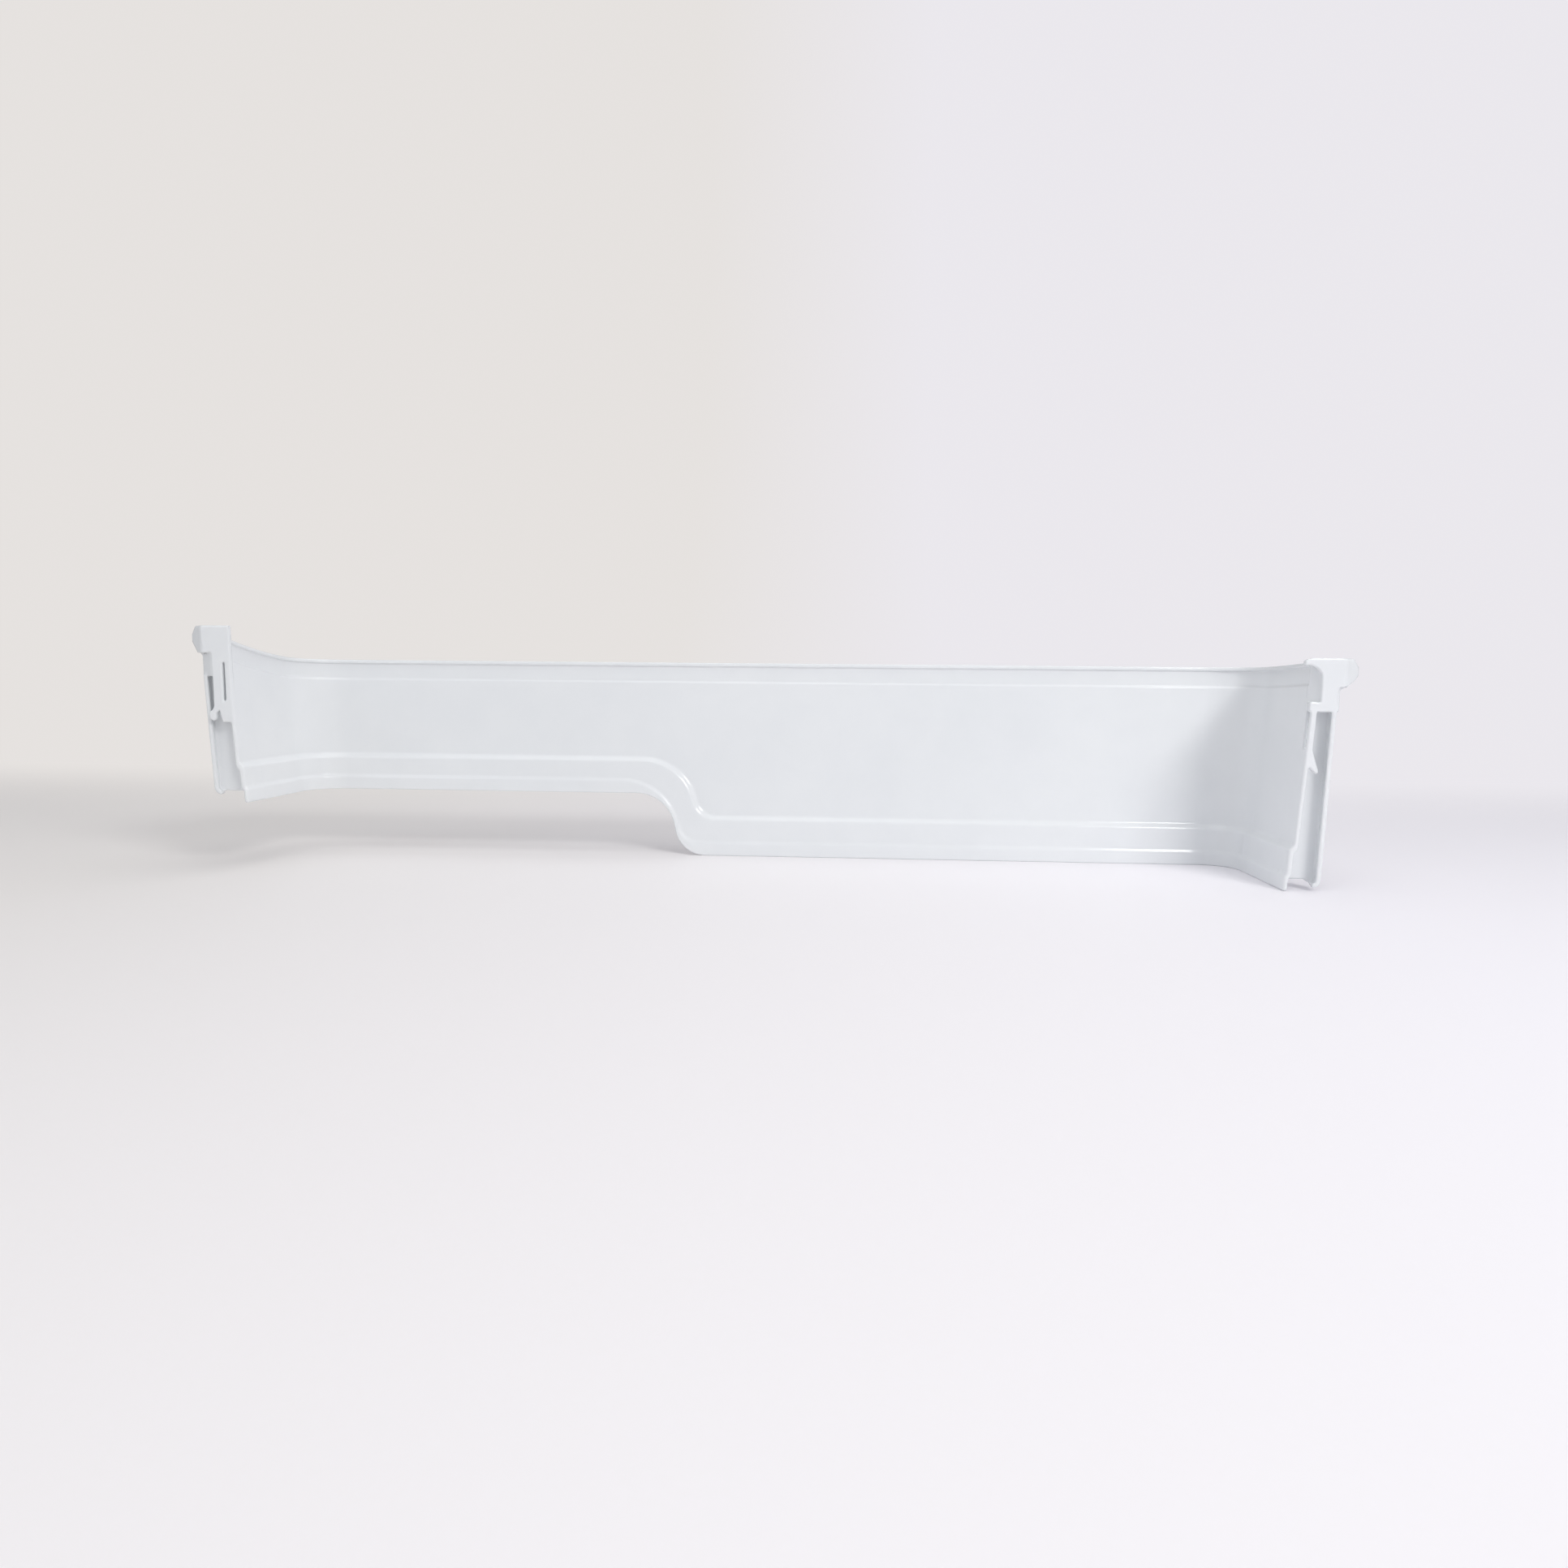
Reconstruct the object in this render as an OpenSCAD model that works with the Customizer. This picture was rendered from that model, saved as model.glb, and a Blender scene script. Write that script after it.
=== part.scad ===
// Door bar of a refrigerator: one moulded shell that runs along the front of a door
// shelf and turns back at both ends into brackets that slide onto the door.
// Seen from the door: +X to the right, +Y toward the outer face, +Z up.
// The origin is under the middle of the part, on the floor it stands on.

/* [Shell] */
// clear width between the two end lips, measured at the floor
clear_w = 567; // [500:1:640]
// depth from the inner face of the front lip to the near edge of the ends
depth = 75; // [70:1:90]
// height of the front wall above the floor
height = 120; // [114:1:126]
// thickness of the moulded wall
wall = 2.2; // [1.8:0.1:2.6]
// outward lean of the wall, in degrees
lean = 3.5; // [2:0.1:4.5]
// inner radius of the two upright corners, at the lip
corner_r = 17; // [12:1:24]

/* [Bottom edge] */
// rise of the left part of the bottom edge over the right part
step_rise = 38.4; // [30:0.1:44]
// height of the lip at the bottom edge
lip_h = 9.7; // [8:0.1:11]
// height of the band above the lip, right part
band_h = 12.4; // [11:0.1:14]
// height of the band above the lip, left part
band_h_left = 10.2; // [9:0.1:12]
// set-back of the band behind the lip
lip_jog = 0.9; // [0.6:0.1:1.4]
// set-back of the wall behind the band
band_jog = 2.2; // [1.6:0.1:2.4]
// where the bottom edge starts to drop, measured to the left of the middle
step_x = 81.5; // [40:0.5:120]
// radius of the upper curve of the drop, at the lip
drop_r = 25; // [22:0.5:28]
// radius of the lower curve of the drop, at the lip
drop_r2 = 19.4; // [18:0.2:22]

/* [Top rim] */
// height of the rim band
rim_h = 12; // [10:0.1:14]
// set-back of the rim band behind the wall
rim_jog = 0.8; // [0.5:0.1:1.2]
// height of the bead along the top edge
bead_h = 2.1; // [1.8:0.1:2.6]
// how far the bead stands in from the rim band
bead_jog = 1.3; // [1:0.1:1.8]
// rise of the top edge toward the left end
rise_left = 10.5; // [8:0.5:12]
// rise of the top edge toward the right end
rise_right = 2.4; // [1:0.1:3.5]

/* [Brackets] */
// how far a head stands out beyond the inner face of the end lip
head_out = 36.5; // [35:0.5:40]
// height of the top of the left head
head_top_left = 137; // [134:0.5:139]
// height of the top of the right head
head_top_right = 124; // [123:0.5:128]
// height of the lobe of a head
lobe_h = 12; // [10:0.5:14]
// thickness of the face plate of a head
plate_t = 3; // [2.5:0.1:4]
// depth of a head, front to back
head_d = 15; // [12:0.5:18]
// depth of the channel in front of the web
channel_d = 7.5; // [6:0.5:9]
// thickness of the web
web_t = 2.2; // [1.8:0.1:2.6]
// thickness of the outer flange
flange_t = 2.4; // [2:0.1:2.8]
// flare of the flange in plan, in degrees
flange_flare = 15; // [8:1:20]
// length of the spring slots
slot_h = 21.3; // [18:0.1:23]
// width of the slot in the left face plate
slot_w_left = 1.4; // [1:0.1:1.8]
// width of the slot through the right end wall
slot_w_right = 3.2; // [2.6:0.1:3.6]

/* [Hidden] */
$fn = 96;
white = "#f2f4f6";
// inner face of each layer, measured from the lip face
band_w = lip_jog;
wall_w = lip_jog + band_jog;
rim_w = wall_w + rim_jog;
bead_w = rim_w - bead_jog;
// half of the clear width, the outermost reach of a head, and the levels of the bends
half_w = clear_w / 2;
head_x = half_w + head_out;
lip_top = lip_h;
band_top = lip_h + band_h;
band_top_left = step_rise + lip_h + band_h_left;
// levels that reach past every edge
low = -5;
high = 145;
// the rear face of the rim, and the middle of the depth
back_y = reach(rim_w + wall, height);
mid_y = (back_y - depth) / 2;
// planes of the bracket, front to back
near_y = -depth;
web_y = near_y + channel_d;
// the drop at the second and the first bend: start and radii
bend2_x = -step_x - 9;
bend2_r1 = 38;
bend2_r2 = 11;
bend1_x = 3.5 - step_x;
bend1_r1 = 33;
bend1_r2 = 15;
// brackets: inner edge and outer edge of the face, outer edges of the necks
head_in = half_w + 9.5;
face_x = half_w + 25.5;
neck_left = half_w + 19.8;
neck_right = half_w + 21.6;
neck_h = 28;
// how far the body stands out behind the neck of the face
neck_out_left = 9;
neck_out_right = 2.5;
foot_r = 4.2;
// outer face of each flange, at its top and at its foot
flange_top_left = half_w + 27.3;
flange_foot_left = half_w + 24.1;
flange_top_right = half_w + 22;
flange_foot_right = half_w + 19.4;
// height of the right flange's foot above the floor
foot_z_right = 1.9;
// the left flange stands back behind the hook of the spring finger
flange_back = plate_t + 0.6;
// depth of the right spring finger, and inner edge of the right head's body
finger_d = 2.2;
body_in = head_in + 4;

// left slot, and the rounded cut-out and flared wall of the right head
finger_x = half_w + 12.7;
cut_x = half_w + 14.1;
cut_r = 8;
flare_d = 7;
// arc that carries the top edge up toward an end
arc_run = depth + back_y;

// distance of a leaning layer from the lip face at height z
function reach(w, z) = w / cos(lean) + z * tan(lean);
function arc_r(rise) = (arc_run * arc_run + rise * rise) / (2 * rise);
function turn(drop, r1, r2) = acos(1 - drop / (r1 + r2));

// extrudes an outline drawn in x and z along y, from y0 to y1
module along_y(y0, y1) {
    translate([0, y1, 0]) rotate([90, 0, 0]) linear_extrude(y1 - y0) children();
}

// extrudes an outline drawn in y and z along x, from x0 to x1
module along_x(x0, x1) {
    translate([x0, 0, 0]) rotate([90, 0, 90]) linear_extrude(x1 - x0) children();
}

// cross-section of a leaning layer between two offsets
module layer_section(w0, w1) {
    polygon([
        [reach(w0, low), low],
        [reach(w1, low), low],
        [reach(w1, high), high],
        [reach(w0, high), high]
    ]);
}

// one upright corner and one end of a layer, on the right
module layer_end(w0, w1) {
    translate([half_w - corner_r, -corner_r, 0])
        rotate_extrude(angle = 90) translate([corner_r, 0]) layer_section(w0, w1);
    along_y(near_y, -corner_r) translate([half_w, 0]) layer_section(w0, w1);
}

// a full layer: front, corners and ends
module layer(w0, w1) {
    along_x(corner_r - half_w, half_w - corner_r) layer_section(w0, w1);
    layer_end(w0, w1);
    mirror([1, 0, 0]) layer_end(w0, w1);
}

// area above a bottom line that drops from z_left to z_right in two curves
module above_drop(z_left, z_right, x0, r1, r2) {
    a = turn(z_left - z_right, r1, r2);
    join = [x0 + r1 * sin(a), z_left - r1 * (1 - cos(a))];
    end_x = x0 + (r1 + r2) * sin(a);
    difference() {
        polygon([
            [-400, z_left], [x0, z_left], join, [end_x, z_right],
            [400, z_right], [400, high], [-400, high]
        ]);
        translate([x0, z_left - r1]) circle(r1, $fn = 180);
    }
    intersection() {
        translate([end_x, z_right + r2]) circle(r2, $fn = 180);
        polygon([join, [join[0], z_right - 1], [end_x, z_right - 1], [end_x, z_right + r2]]);
    }
}

module above_lip(z = 0) {
    above_drop(step_rise + z, z, -step_x, drop_r, drop_r2);
}

module above_bend2(z = 0) {
    above_drop(step_rise + lip_top + z, lip_top + z, bend2_x, bend2_r1, bend2_r2);
}

module above_bend1(z = 0) {
    above_drop(band_top_left + z, band_top + z, bend1_x, bend1_r1, bend1_r2);
}

// space below the top edge, lowered by drop, on one side of the middle
module below_top(rise, drop) {
    r = arc_r(rise);
    along_x(0, 400) difference() {
        translate([-depth - 10, low]) square([arc_run + 20, high - low]);
        translate([back_y, height + r - drop]) circle(r, $fn = 720);
        translate([back_y, height - drop]) square([30, 60]);
    }
}

module below_rim(drop = 0) {
    below_top(rise_right, drop);
    mirror([1, 0, 0]) below_top(rise_left, drop);
}

// the moulded shell, layer by layer from the bottom edge up
module lip() {
    intersection() {
        layer(0, wall);
        along_y(near_y - 5, back_y + 5) difference() {
            above_lip();
            above_bend2();
        }
    }
}

module band() {
    intersection() {
        layer(band_w, wall_w + 0.4);
        along_y(near_y - 5, back_y + 5) difference() {
            above_bend2(-1.2);
            above_bend1();
        }
    }
}

module main_wall() {
    intersection() {
        layer(wall_w, wall_w + wall);
        along_y(near_y - 5, back_y + 5) above_bend1(-wall);
        below_rim(rim_h);
    }
}

module rim() {
    intersection() {
        layer(rim_w, rim_w + wall);
        difference() {
            below_rim();
            below_rim(rim_h + wall);
        }
    }
    intersection() {
        layer(bead_w, rim_w + wall);
        difference() {
            below_rim();
            below_rim(bead_h);
        }
    }
}

module shell() {
    lip();
    band();
    main_wall();
    rim();
}

// outline of an outer flange in x and z: a leaning plate with a turned-in foot
module flange_outline(x_top, z_top, x_foot, z_foot) {
    z0 = z_foot + foot_r;
    polygon([
        [x_foot - flange_t, z0],
        [x_foot, z0],
        [x_top, z_top],
        [x_top - flange_t, z_top]
    ]);
    translate([x_foot - foot_r, z0]) intersection() {
        difference() {
            circle(foot_r);
            circle(foot_r - flange_t);
        }
        translate([0, -foot_r]) square(foot_r);
    }
}

// outer flange: the outline drawn back along a line that flares in plan
module flange(x_top, z_top, x_foot, z_foot, back) {
    y0 = near_y + back;
    intersection() {
        translate([x_foot, y0, 0]) rotate([0, 0, -flange_flare])
            along_y(-5, head_d) translate([-x_foot, 0])
                flange_outline(x_top, z_top, x_foot, z_foot);
        along_y(y0, web_y + web_t) translate([x_foot - 20, 0]) square([40, high]);
    }
}

// web that closes the back of the channel, from the shell out into the flange
module web(base, band_z, z_bottom, z_top, x_top, x_foot, z_foot, back) {
    z0 = z_foot + foot_r;
    // from the foot of the flange to the middle of its wall at the web
    e = (channel_d + web_t / 2 - back) * tan(flange_flare) - flange_t / 2;
    along_y(web_y, web_y + web_t) polygon([
        [half_w + reach(1.1, z_bottom), z_bottom],
        [half_w + reach(1.1, base + lip_top), base + lip_top],
        [half_w + reach(band_w + 1.3, base + lip_top), base + lip_top],
        [half_w + reach(band_w + 1.3, band_z), band_z],
        [half_w + reach(wall_w + 1.2, band_z), band_z],
        [half_w + reach(wall_w + 1.2, z_top), z_top],
        [x_top + e, z_top],
        [x_foot + e, z0],
        [x_foot + e - 2.2, z0 - 3],
        [x_foot + e - 4.6, z0 - 2.2],
        [x_foot + e - 6.6, z_bottom]
    ]);
}

// everything outside a slanted plane that starts at x0 on the near face
module outside(x0, run, back) {
    linear_extrude(high) polygon([
        [x0, near_y],
        [x0 + 4 * run, near_y + 4 * back],
        [x0 + 4 * run + 60, near_y - 10],
        [x0, near_y - 10]
    ]);
}

// outline of the body of a head, set in by m on every side
module head_outline(top, body_x, in_x, m) {
    lobe_z = top - lobe_h;
    neck_z = top - neck_h;
    polygon([
        [in_x + m, neck_z + m],
        [body_x - m, neck_z + m],
        [body_x - m, lobe_z - 5 + m / 2],
        [head_x - 2.5 - m, lobe_z + 0.5 + m],
        [head_x - m, lobe_z + 3 + m],
        [head_x - m, top - 4.5],
        [head_x - 4.5, top - m],
        [in_x + m, top - m]
    ]);
}

// head: a hollow block whose outer side falls back from the face in two slopes
module head(top, neck_x, neck_out, in_x) {
    body_x = neck_x + neck_out;
    difference() {
        along_y(near_y, near_y + head_d) head_outline(top, body_x, in_x, 0);
        head_slopes(top, neck_x, 0);
        difference() {
            along_y(near_y + plate_t, near_y + head_d + 1)
                head_outline(top, body_x, in_x, wall);
            head_slopes(top, neck_x, 2 * wall);
        }
    }
}

// everything on the shelf side of a slanted plane that starts at the face edge
module inside_slope(m) {
    linear_extrude(high) polygon([
        [head_in + m, near_y],
        [head_in + m + 13, near_y + 18],
        [head_in - 20, near_y + 18],
        [head_in - 20, near_y - 1],
        [head_in + m, near_y - 1]
    ]);
}

module head_slopes(top, neck_x, m) {
    outside(face_x - m, 11, 9);
    translate([0, 0, low]) intersection() {
        outside(neck_x - m, 9.2, 6);
        linear_extrude(top - lobe_h - 3 - low) translate([250, -120]) square([150, 150]);
    }
}

// left face plate with the spring finger, its slot and its hook
module left_plate() {
    top = head_top_left;
    tip = top - 47;
    along_y(near_y, near_y + plate_t) polygon([
        [head_in, top],
        [face_x - 1.8, top],
        [face_x, top - 2],
        [face_x, top - 8.7],
        [face_x - 2.1, top - 12.3],
        [neck_left + 1.3, top - 13.2],
        [neck_left, top - 16],
        [neck_left, tip + 2.4],
        [neck_left + 3.1, tip - 1.2],
        [neck_left + 2.8, tip - 3.9],
        [neck_left + 1, tip - 5.7],
        [neck_left - 0.9, tip - 4.3],
        [neck_left - 1.1, tip - 1.2],
        [neck_left - 3, tip + 0.4],
        [neck_left - 4.7, tip - 6.5],
        [head_in + 0.5, tip - 6.5],
        [head_in + 1, tip + 4],
        [head_in, tip + 5]
    ]);
}

// slot between the left spring finger and the end wall
module left_slot() {
    slot_top = head_top_left - 20.2;
    along_y(near_y - 1, near_y + plate_t + 1)
        translate([finger_x, slot_top - slot_h]) square([slot_w_left, slot_h]);
}

// right face plate, with the rounded cut-out toward the shelf side
module right_plate() {
    top = head_top_right;
    along_y(near_y, near_y + plate_t) difference() {
        polygon([
            [head_in - 5, top - 1.6],
            [head_in - 1, top],
            [face_x - 1.8, top],
            [face_x, top - 2],
            [face_x, top - 10],
            [neck_right + 1, top - 16],
            [neck_right, top - 23],
            [neck_right, top - neck_h],
            [head_in - 1.5, top - neck_h],
            [head_in - 1.5, top - 20],
            [head_in - 5, top - 10]
        ]);
        translate([cut_x - cut_r, top - 11.7]) circle(cut_r);
        translate([cut_x - 20, top - 23]) square([20, 11.3]);
    }
}

// flared piece of end wall that meets the cut-out of the right face plate
module right_flare() {
    z0 = head_top_right - 24.5;
    x0 = half_w + reach(wall_w, z0);
    translate([x0, near_y, z0]) rotate([0, lean / 2, 0]) linear_extrude(21.5) polygon([
        [0, flare_d],
        [cut_x - x0, 0.5],
        [cut_x - x0 + wall, 0.5],
        [cut_x - x0 + wall, 2],
        [wall, flare_d + 1]
    ]);
}

// right spring finger with the hook at its foot
module right_hook() {
    z = head_top_right - 48.5;
    along_y(near_y, near_y + finger_d) polygon([
        [head_in - 1, z + 3],
        [head_in, z + 22],
        [head_in + 2.6, z + 22],
        [head_in + 1.4, z],
        [head_in + 5, z - 10.6],
        [head_in + 4.6, z - 12.8],
        [head_in + 2.8, z - 11.5],
        [head_in - 1, z - 7.7]
    ]);
}

module left_bracket() {
    neck_z = head_top_left - neck_h + 1;
    difference() {
        union() {
            difference() {
                head(head_top_left, neck_left, neck_out_left, head_in);
                inside_slope(0);
            }
            left_plate();
        }
        left_slot();
    }
    flange(flange_top_left, neck_z, flange_foot_left, step_rise + 4, flange_back);
    web(step_rise, band_top_left, step_rise + 5.8, neck_z,
        flange_top_left, flange_foot_left, step_rise + 4, flange_back);
}

module right_bracket() {
    neck_z = head_top_right - neck_h + 1;
    head(head_top_right, neck_right, neck_out_right, body_in);
    right_plate();
    right_flare();
    right_hook();
    flange(flange_top_right, neck_z, flange_foot_right, foot_z_right, 0);
    web(0, band_top, 5.4, neck_z, flange_top_right, flange_foot_right, foot_z_right, 0);
}

// openings in the right end wall: the slot and the space of the flared piece
module right_cuts() {
    slot_z = head_top_right - 26.5;
    translate([half_w, near_y + finger_d, slot_z - slot_h]) cube([16, slot_w_right, slot_h]);
    translate([half_w, near_y - 1, head_top_right - 23]) cube([14, flare_d + 1, 19]);
}

module door_bar() {
    color(white) {
        difference() {
            shell();
            right_cuts();
        }
        mirror([1, 0, 0]) left_bracket();
        right_bracket();
    }
}

translate([0, -mid_y, 0]) door_bar();
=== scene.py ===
"""Looks of a refrigerator door bar: one glossy white moulding, drawn finer than its solid.

The bar is drawn again here with rounded bends, sloped steps and filleted brackets. The long
wall is swept along the bar by a node tree; each bracket is the surface where a distance
field is zero. Sizes are in millimetres up to the moment a mesh is made.
"""

import math

import bpy
import numpy as np
from mathutils import Matrix, Vector


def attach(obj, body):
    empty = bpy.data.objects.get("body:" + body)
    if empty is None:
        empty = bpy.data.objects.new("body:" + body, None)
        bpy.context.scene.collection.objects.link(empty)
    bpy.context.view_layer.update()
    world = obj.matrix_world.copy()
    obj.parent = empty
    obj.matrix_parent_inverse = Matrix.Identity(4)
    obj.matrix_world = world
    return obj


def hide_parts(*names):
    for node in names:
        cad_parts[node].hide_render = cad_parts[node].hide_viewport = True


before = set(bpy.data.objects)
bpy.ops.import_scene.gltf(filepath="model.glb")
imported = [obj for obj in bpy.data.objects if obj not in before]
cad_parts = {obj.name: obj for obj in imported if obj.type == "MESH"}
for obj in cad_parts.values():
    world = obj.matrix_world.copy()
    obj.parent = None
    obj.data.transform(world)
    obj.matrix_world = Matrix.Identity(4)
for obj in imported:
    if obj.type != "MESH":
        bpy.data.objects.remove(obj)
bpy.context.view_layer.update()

MM = 0.001

# sizes of the part, as in its source
HALF_W = 283.5
DEPTH = 75.0
HEIGHT = 120.0
WALL = 2.2
LEAN = math.radians(3.5)
CORNER_R = 17.0
STEP_RISE = 38.4
LIP_H = 9.7
BAND_H = 12.4
BAND_H_LEFT = 10.2
LIP_JOG = 0.9
BAND_JOG = 2.2
RIM_JOG = 0.8
RIM_H = 12.0
BEAD_H = 2.1
BEAD_JOG = 1.3
RISE_LEFT = 10.5
RISE_RIGHT = 2.4
RIM_OUT = LIP_JOG + BAND_JOG + RIM_JOG + WALL
NEAR = -DEPTH
CHANNEL_D = 7.5
WEB_T = 2.2
FLANGE_T = 2.4
FLARE = math.radians(15)
PLATE_T = 3.0
HEAD_D = 15.0
HEAD_IN = 293.0
FACE_X = 309.0
HEAD_REACH = 320.0
SEAM = -57.5


def reach(w, z):
    """Distance from the foot of the wall to a layer w behind the lip, at height z."""
    return w / math.cos(LEAN) + z * math.tan(LEAN)


BACK_Y = reach(RIM_OUT, HEIGHT)
MID_Y = (BACK_Y - DEPTH) / 2


def ease(t):
    """Smooth step from 0 to 1."""
    t = np.clip(t, 0.0, 1.0)
    return t * t * (3.0 - 2.0 * t)


class Drop:
    """A bend line that drops from the left level to the right one in two arcs."""

    def __init__(self, left, right, x0, r1, r2):
        self.left, self.right, self.x0, self.r1, self.r2 = left, right, x0, r1, r2
        self.turn = math.acos(1 - (left - right) / (r1 + r2))
        self.end = x0 + (r1 + r2) * math.sin(self.turn)
        self.join_x = x0 + r1 * math.sin(self.turn)
        self.join_z = left - r1 * (1 - math.cos(self.turn))

    def angle(self, x):
        """Steepness of the line at x, 0 where it is level."""
        upper = np.arcsin(np.clip((x - self.x0) / self.r1, 0, 1))
        lower = np.arcsin(np.clip((self.end - x) / self.r2, 0, 1))
        return np.where(x < self.join_x, upper, lower)

    def height(self, x):
        a = self.angle(x)
        upper = self.left - self.r1 * (1 - np.cos(a))
        lower = self.right + self.r2 * (1 - np.cos(a))
        return np.where(x < self.join_x, upper, lower)

    def above(self, x, z):
        """Distance above the line, negative below it."""
        side = (x - self.join_x) * math.cos(self.turn) - (z - self.join_z) * math.sin(self.turn)
        c1z, c2z = self.left - self.r1, self.right + self.r2
        upper = np.where(x < self.x0, z - self.left, np.hypot(x - self.x0, z - c1z) - self.r1)
        round2 = np.where(z > c2z, self.r2, self.r2 - np.hypot(x - self.end, z - c2z))
        lower = np.where(x > self.end, z - self.right, round2)
        return np.where(side < 0, upper, lower)


STEP_X = 81.5
EDGE = Drop(STEP_RISE, 0.0, -STEP_X, 25.0, 19.4)
BEND_2 = Drop(STEP_RISE + LIP_H, LIP_H, -STEP_X - 9.0, 38.0, 11.0)
BEND_1 = Drop(STEP_RISE + LIP_H + BAND_H_LEFT, LIP_H + BAND_H, 3.5 - STEP_X, 33.0, 15.0)


def top_edge(x, y):
    """Height of the top edge, which rises in a long arc toward both ends."""
    rise = np.where(x < 0, RISE_LEFT, RISE_RIGHT)
    run = DEPTH + BACK_Y
    r = (run * run + rise * rise) / (2 * rise)
    back = np.clip(BACK_Y - y, 0, run + 5)
    return HEIGHT + r - np.sqrt(r * r - back * back)


def inner_face(d2, d1, down):
    """Offset of the inner face: lip, band, wall, rim band and bead, with sloped steps."""
    w = LIP_JOG * ease((d2 + 2.7) / 2.7) + BAND_JOG * ease((d1 + 0.6) / 4.0)
    w = w + RIM_JOG * ease((RIM_H + 0.7 - down) / 1.4)
    return w - BEAD_JOG * ease((BEAD_H + 0.8 - down) / 1.1)


def outer_face(d2, d1, down):
    w = WALL + 1.3 * ease((d2 + 3.6) / 2.7) + 1.8 * ease((d1 + 2.8) / 4.0)
    return w + RIM_JOG * ease((RIM_H + 2.0 - down) / 1.4)


def to_object(name, points, faces):
    """A mesh object in the frame of the part, from points in millimetres."""
    mesh = bpy.data.meshes.new(name)
    points = np.asarray(points, float).copy()
    points[:, 1] -= MID_Y
    mesh.from_pydata((points * MM).tolist(), [], faces)
    mesh.update()
    piece = bpy.data.objects.new(name, mesh)
    bpy.context.scene.collection.objects.link(piece)
    return piece


# ---------------------------------------------------------------- the long wall

EDGE_R = 0.55
TOP_R = 0.75
SPLIT_Z = 72.0
# where a bracket runs on inside the end of the wall, and how far its skin sinks there
OVERLAP = 3.0
TUCK = 0.06


def wall_stations():
    """Plan points, outward directions and along directions from the left end to the right."""
    along = [SEAM, SEAM + 1.5, -52, -46, -40, -34, -28, -22]
    stations = [(-HALF_W, y, -1, 0) for y in along]
    cx = HALF_W - CORNER_R
    turns = np.linspace(0, math.pi / 2, 21)
    for a in turns:
        n = (-math.cos(a), math.sin(a))
        stations.append((-cx + CORNER_R * n[0], -CORNER_R + CORNER_R * n[1], *n))
    xs = list(np.linspace(-cx + 20, -110, 8))
    x = -104.0
    while x < -22:
        xs.append(x)
        x += min(0.6, max(0.1, 0.75 * math.cos(float(EDGE.angle(np.array(x))))))
    xs += list(np.linspace(-16, cx - 20, 12))
    stations += [(x, 0.0, 0, 1) for x in xs]
    for a in turns[::-1]:
        n = (math.cos(a), math.sin(a))
        stations.append((cx + CORNER_R * n[0], -CORNER_R + CORNER_R * n[1], *n))
    stations += [(HALF_W, y, 1, 0) for y in along[::-1]]
    return np.array(stations, float)


def wall_rows(st):
    """Offset, height and slide along the bar of every row of the wall's closed section."""
    px, py, ny = st[:, 0], st[:, 1], st[:, 3]
    edge_z, lean_a = EDGE.height(px), EDGE.angle(px)
    up = (np.sin(lean_a), np.cos(lean_a))
    top_y = py + ny * reach(RIM_OUT - WALL, HEIGHT)
    top_z = top_edge(px, top_y)
    rows = []

    def add(w, z, slide=0.0):
        rows.append((w + 0 * px, z + 0 * px, slide + 0 * px))

    def face(kind, x, z):
        return kind(BEND_2.above(x, z), BEND_1.above(x, z), top_z - z)

    def side(kind, shares):
        for f in shares:
            x0, z0 = px + up[0] * EDGE_R, edge_z + up[1] * EDGE_R
            x, z = x0 + (px - x0) * f, z0 + (SPLIT_Z - z0) * f
            add(face(kind, x, z), z, x - px)

    corner = np.linspace(0, math.pi / 2, 4)
    for a in corner[:-1]:
        t = EDGE_R * (1 - math.cos(a))
        add(EDGE_R * (1 - math.sin(a)), edge_z + up[1] * t, up[0] * t)
    side(inner_face, np.linspace(0, 1, 101))
    fine = list(np.linspace(13.2, 10.8, 7)) + [8, 5.5, 3.6] + list(np.linspace(3.0, 1.7, 8))
    for f in (0.25, 0.5, 0.75):
        z = SPLIT_Z + (top_z - 14.5 - SPLIT_Z) * f
        add(face(inner_face, px, z), z)
    for down in [14.5] + fine + [1.3]:
        add(face(inner_face, px, top_z - down), top_z - down)
    bead_w = LIP_JOG + BAND_JOG + RIM_JOG - BEAD_JOG
    for a in corner:
        add(bead_w + TOP_R * (1 - math.cos(a)), top_z - TOP_R * (1 - math.sin(a)))
    for a in corner[::-1]:
        add(RIM_OUT - TOP_R * (1 - math.cos(a)), top_z - TOP_R * (1 - math.sin(a)))
    for down in [2.5, 6, 10] + list(np.linspace(12.4, 14.2, 6)) + [16]:
        add(face(outer_face, px, top_z - down), top_z - down)
    for f in (0.66, 0.33):
        z = SPLIT_Z + (top_z - 16 - SPLIT_Z) * f
        add(face(outer_face, px, z), z)
    side(outer_face, np.linspace(1, 0, 61))
    for a in corner[:-1][::-1]:
        t = EDGE_R * (1 - math.cos(a))
        add(WALL - EDGE_R * (1 - math.sin(a)), edge_z + up[1] * t, up[0] * t)
    return (np.array(c) for c in zip(*rows))


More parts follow.
